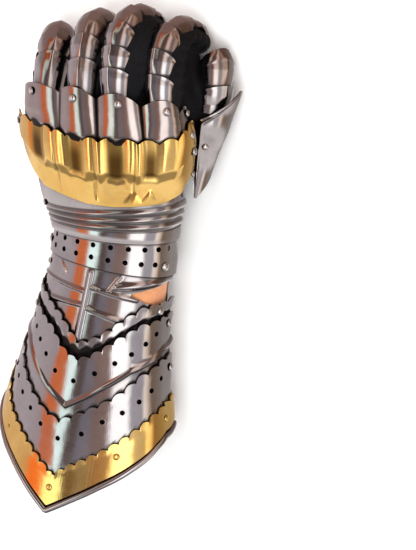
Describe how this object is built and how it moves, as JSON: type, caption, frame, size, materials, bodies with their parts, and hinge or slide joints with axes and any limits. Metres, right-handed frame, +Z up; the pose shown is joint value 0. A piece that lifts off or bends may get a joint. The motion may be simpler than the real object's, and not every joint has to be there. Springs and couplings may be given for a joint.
{
  "type": "armoured gauntlet",
  "caption": "Left-hand gothic armoured gauntlet: polished steel lames and a pointed scalloped cuff with brass borders over a black leather glove.",
  "frame": {"origin": "centre of the underside of the bounding box, on the surface it rests on", "axes": "+Y from the cuff to the fingertips, +X towards the thumb, +Z up, from the palm to the back of the hand"},
  "size_m": [0.1616, 0.3656, 0.0793],
  "materials": {
    "steel": "polished",
    "brass": "polished",
    "glove": "matte",
    "strap": "suede"
  },
  "bodies": {
    "root": {"wrist_cone": "steel", "scalloped_plate_upper": "steel", "scalloped_plate_middle": "steel", "bell_plate": "steel", "brass_border": "brass", "palm_cuff_plate": "steel", "wrist_strap": "strap", "perforated_lame": "steel", "ridged_lame": "steel", "brass_hand_plate": "brass", "knuckle_plate": "steel", "side_tab": "steel", "pinky_lame_1": "steel", "pinky_lame_2": "steel", "pinky_lame_3": "steel", "pinky_lame_4": "steel", "ring_lame_1": "steel", "ring_lame_2": "steel", "ring_lame_3": "steel", "ring_lame_4": "steel", "ring_lame_5": "steel", "middle_lame_1": "steel", "middle_lame_2": "steel", "middle_lame_3": "steel", "middle_lame_4": "steel", "middle_lame_5": "steel", "middle_lame_6": "steel", "index_lame_1": "steel", "index_lame_2": "steel", "index_lame_3": "steel", "index_lame_4": "steel", "index_lame_5": "steel", "thumb_plate": "steel", "thumb_lame_1": "steel", "thumb_lame_2": "steel", "glove_hand": "glove", "glove_pinky": "glove", "glove_ring": "glove", "glove_middle": "glove", "glove_index": "glove", "glove_thumb": "glove", "rivet_knuckle_pinky": "steel", "rivet_knuckle_ring": "steel", "rivet_knuckle_middle": "steel", "rivet_knuckle_index": "steel", "rivet_tab": "steel", "rivet_hand_pinky": "steel", "rivet_hand_index_1": "steel", "rivet_hand_index_2": "steel", "rivet_ridged_pinky": "steel", "rivet_perforated_thumb": "steel", "rivet_perforated_pinky": "steel", "rivet_upper_thumb": "steel", "rivet_middle_thumb": "steel", "rivet_bell_thumb": "steel"}
  },
  "joints": []
}
